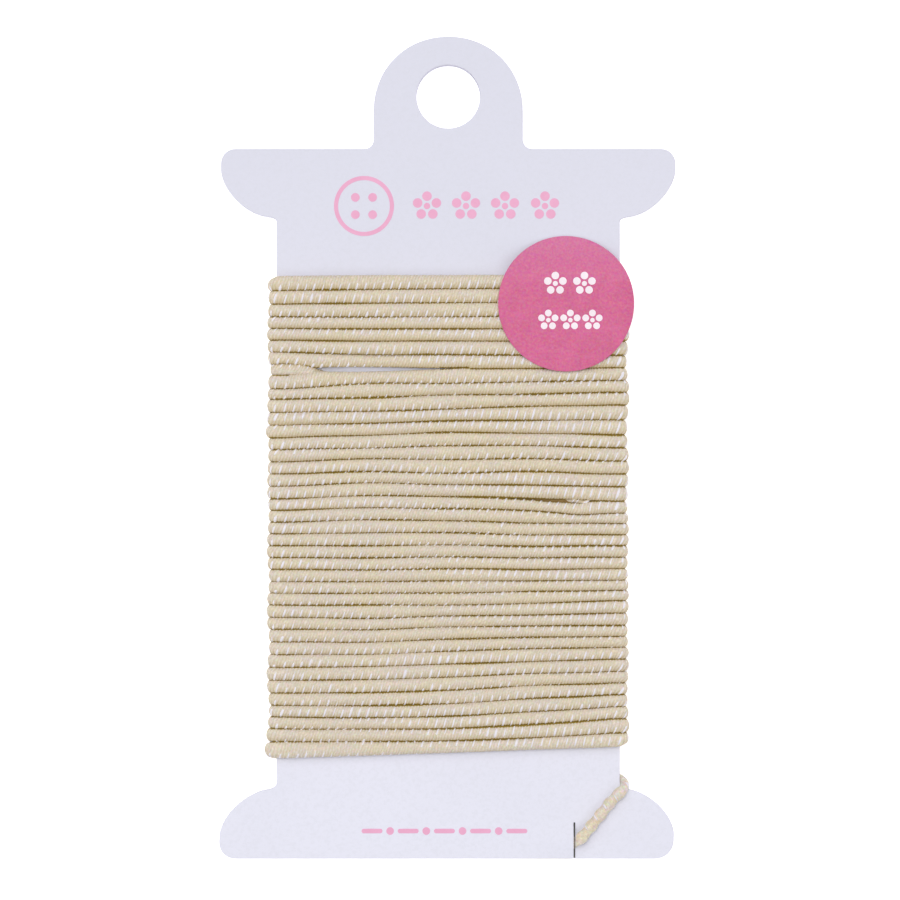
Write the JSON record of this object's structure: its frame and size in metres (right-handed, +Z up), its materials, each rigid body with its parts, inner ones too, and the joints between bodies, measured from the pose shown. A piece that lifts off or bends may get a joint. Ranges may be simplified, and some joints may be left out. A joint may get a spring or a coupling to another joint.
{
  "type": "card of elastic yarn",
  "caption": "Cream elastic cord wound round the waist of a white die-cut card with a hang hole, a round pink sticker and the loose end held in a slit.",
  "frame": {"origin": "middle of the card's outline in X and Y, on the surface that the back of the winding lies on", "axes": "+X to the card's right, +Y to the end with the hang hole, +Z up out of the card's face"},
  "size_m": [0.05, 0.0904, 0.0047],
  "materials": {
    "cardboard": "matt white card stock with a faint cool tint",
    "elastic_cord": "cream wrapped elastic cord with fine white flecks",
    "sticker_paper": "pink printed paper, low sheen"
  },
  "bodies": {
    "root": {"card": "cardboard", "winding": "elastic_cord", "sticker": "sticker_paper", "loose_end": "elastic_cord"}
  },
  "joints": []
}
